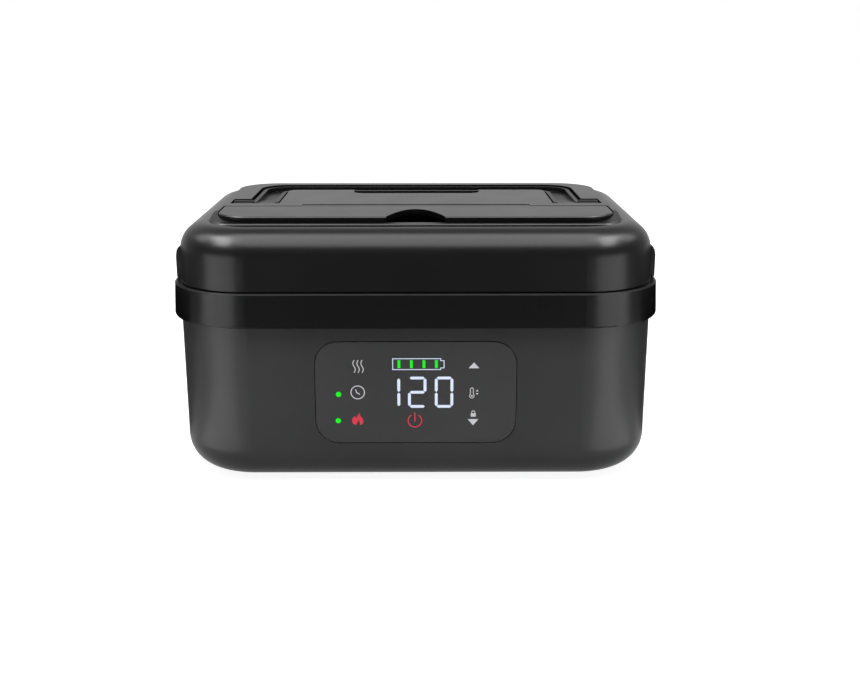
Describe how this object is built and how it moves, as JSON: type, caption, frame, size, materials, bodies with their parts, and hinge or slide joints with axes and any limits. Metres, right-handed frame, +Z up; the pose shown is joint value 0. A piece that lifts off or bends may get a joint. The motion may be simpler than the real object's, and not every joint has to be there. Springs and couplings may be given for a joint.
{
  "type": "electric lunch box",
  "caption": "Cordless heated lunch box: rounded tub with a touch display, side latches and a lift-off lid with a folding handle and a cutlery compartment.",
  "frame": {"origin": "on the table, under the middle of the box's footprint", "axes": "+X to the box's right as seen from the front, +Y to its back, +Z up; the display faces -Y"},
  "size_m": [0.2434, 0.178, 0.1274],
  "materials": {
    "shell_plastic": "fine satin texture, dark grey",
    "lid_plastic": "fine satin texture, dark grey",
    "frame_plastic": "glossy black",
    "trim_plastic": "satin black",
    "lens_plastic": "smoked lens with a lit display behind",
    "display_plastic": "white light guide",
    "liner_plastic": "smooth light grey",
    "clear_lid": "smooth translucent grey",
    "seal_rubber": "pale silicone",
    "vent_rubber": "orange silicone",
    "foot_rubber": "matt black",
    "steel": "brushed",
    "aluminium": "satin sheet",
    "screw_steel": "plated",
    "board": "green solder resist",
    "cell_wrap": "blue shrink wrap",
    "ceramic": "white ceramic",
    "foam": "felted fibre",
    "wire_red": "red insulation",
    "wire_black": "black insulation"
  },
  "bodies": {
    "base": {"outer_shell": "shell_plastic", "rim_frame": "frame_plastic", "base_plate": "trim_plastic", "rubber_feet": "foot_rubber", "base_screws": "screw_steel", "heating_chamber": "aluminium", "chamber_insulation": "foam", "heater_plate": "aluminium", "ptc_heaters": "ceramic", "heater_clamp": "screw_steel", "clamp_screws": "screw_steel", "temperature_sensor": "trim_plastic", "thermal_fuse": "ceramic", "heat_shield": "aluminium", "battery_cells": "cell_wrap", "cell_holder": "trim_plastic", "battery_board": "board", "main_board": "board", "display_board": "board", "display_module": "display_plastic", "display_ribbon": "display_plastic", "panel_lens": "lens_plastic", "charge_jack": "trim_plastic", "port_cover_pin": "steel", "latch_pins": "steel", "heater_leads": "wire_red", "charging_leads": "wire_black"},
    "port_cover": {"port_cover": "trim_plastic"},
    "latch_left": {"latch_left": "frame_plastic"},
    "latch_right": {"latch_right": "frame_plastic"},
    "container": {"food_container": "steel"},
    "container_lid": {"container_lid": "clear_lid", "container_seal": "seal_rubber"},
    "vent": {"vent_plug": "vent_rubber"},
    "lid": {"lid_shell": "lid_plastic", "lid_liner": "liner_plastic", "seal_carrier": "liner_plastic", "liner_screws": "screw_steel", "lid_insulation": "foam", "lid_seal": "seal_rubber", "cover_pins": "steel", "handle_pins": "steel"},
    "cover": {"cutlery_cover": "lid_plastic"},
    "handle": {"handle": "trim_plastic"}
  },
  "joints": [
    {"name": "lid_lift", "type": "slide", "parent": "base", "child": "lid", "axis": [0, 0, 1], "range_m": [0, 0.12]},
    {"name": "handle_fold", "type": "hinge", "parent": "lid", "child": "handle", "pos_m": [0, -0.0005, 0.122], "axis": [1, 0, 0], "range_deg": [0, 90]},
    {"name": "cover_open", "type": "hinge", "parent": "lid", "child": "cover", "pos_m": [0, -0.0172, 0.125], "axis": [-1, 0, 0], "range_deg": [0, 100]},
    {"name": "latch_right_open", "type": "hinge", "parent": "base", "child": "latch_right", "pos_m": [0.1194, 0, 0.0918], "axis": [0, 1, 0], "range_deg": [0, 110]},
    {"name": "latch_left_open", "type": "hinge", "parent": "base", "child": "latch_left", "pos_m": [-0.1194, 0, 0.0918], "axis": [0, -1, 0], "range_deg": [0, 110]},
    {"name": "port_cover_open", "type": "hinge", "parent": "base", "child": "port_cover", "pos_m": [0.062, 0.08576, 0.0221], "axis": [-1, 0, 0], "range_deg": [0, 110]},
    {"name": "container_lift", "type": "slide", "parent": "base", "child": "container", "axis": [0, 0, 1], "range_m": [0, 0.06]},
    {"name": "container_lid_lift", "type": "slide", "parent": "container", "child": "container_lid", "axis": [0, 0, 1], "range_m": [0, 0.024]},
    {"name": "vent_lift", "type": "slide", "parent": "container_lid", "child": "vent", "axis": [0, 0, 1], "range_m": [0, 0.002]}
  ],
  "couplings": [
    {"joint": "container_lift", "follows": "lid_lift", "ratio": 0.5},
    {"joint": "container_lid_lift", "follows": "lid_lift", "ratio": 0.2}
  ]
}
